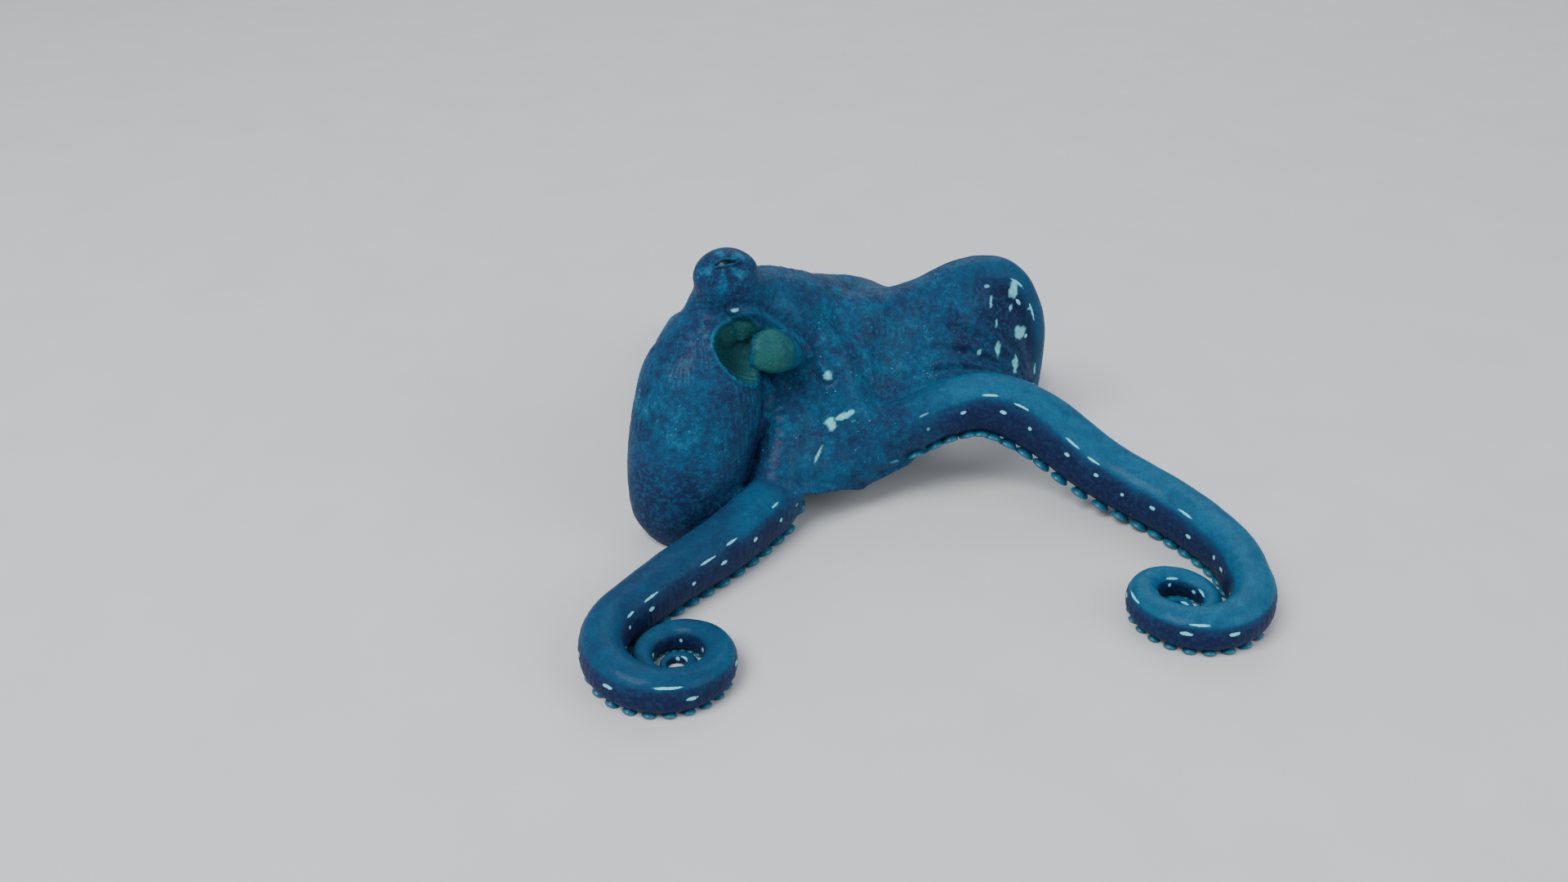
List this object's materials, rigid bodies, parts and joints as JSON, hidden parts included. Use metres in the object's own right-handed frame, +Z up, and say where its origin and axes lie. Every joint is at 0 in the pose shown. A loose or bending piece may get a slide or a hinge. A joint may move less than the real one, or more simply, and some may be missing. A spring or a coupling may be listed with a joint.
{
  "type": "octopus model",
  "caption": "Life-size still model of a resting day octopus with curled arms, webs, a sac-shaped mantle and raised eyes.",
  "frame": {"origin": "middle of the footprint's bounding box, on the floor", "axes": "+Z up; +X the way the animal faces, towards its crown of arms; -Y its right side, with the funnel and the right eye"},
  "size_m": [0.3474, 0.4676, 0.1527],
  "materials": {
    "octopus_skin": "wet, softly shining mottled skin",
    "web_skin": "thin wet skin between the arms",
    "funnel_skin": "smooth olive skin",
    "eye": "clear glossy eyeball"
  },
  "bodies": {
    "root": {"mantle": "octopus_skin", "head": "octopus_skin", "funnel": "funnel_skin", "eye_right": "eye", "eye_left": "eye", "web_right_3_4": "web_skin", "web_right_2_3": "web_skin", "web_right_1_2": "web_skin", "web_between_first_arms": "web_skin", "web_left_1_2": "web_skin", "web_left_2_3": "web_skin", "web_left_3_4": "web_skin", "web_between_fourth_arms": "web_skin", "arm_right_1_base": "octopus_skin", "arm_right_1_middle": "octopus_skin", "arm_right_1_tip": "octopus_skin", "arm_right_2_base": "octopus_skin", "arm_right_2_middle": "octopus_skin", "arm_right_2_tip": "octopus_skin", "arm_right_3_base": "octopus_skin", "arm_right_3_middle": "octopus_skin", "arm_right_3_tip": "octopus_skin", "arm_right_4_base": "octopus_skin", "arm_right_4_middle": "octopus_skin", "arm_right_4_tip": "octopus_skin", "arm_left_1_base": "octopus_skin", "arm_left_1_middle": "octopus_skin", "arm_left_1_tip": "octopus_skin", "arm_left_2_base": "octopus_skin", "arm_left_2_middle": "octopus_skin", "arm_left_2_tip": "octopus_skin", "arm_left_3_base": "octopus_skin", "arm_left_3_middle": "octopus_skin", "arm_left_3_tip": "octopus_skin", "arm_left_4_base": "octopus_skin", "arm_left_4_middle": "octopus_skin", "arm_left_4_tip": "octopus_skin"}
  },
  "joints": []
}
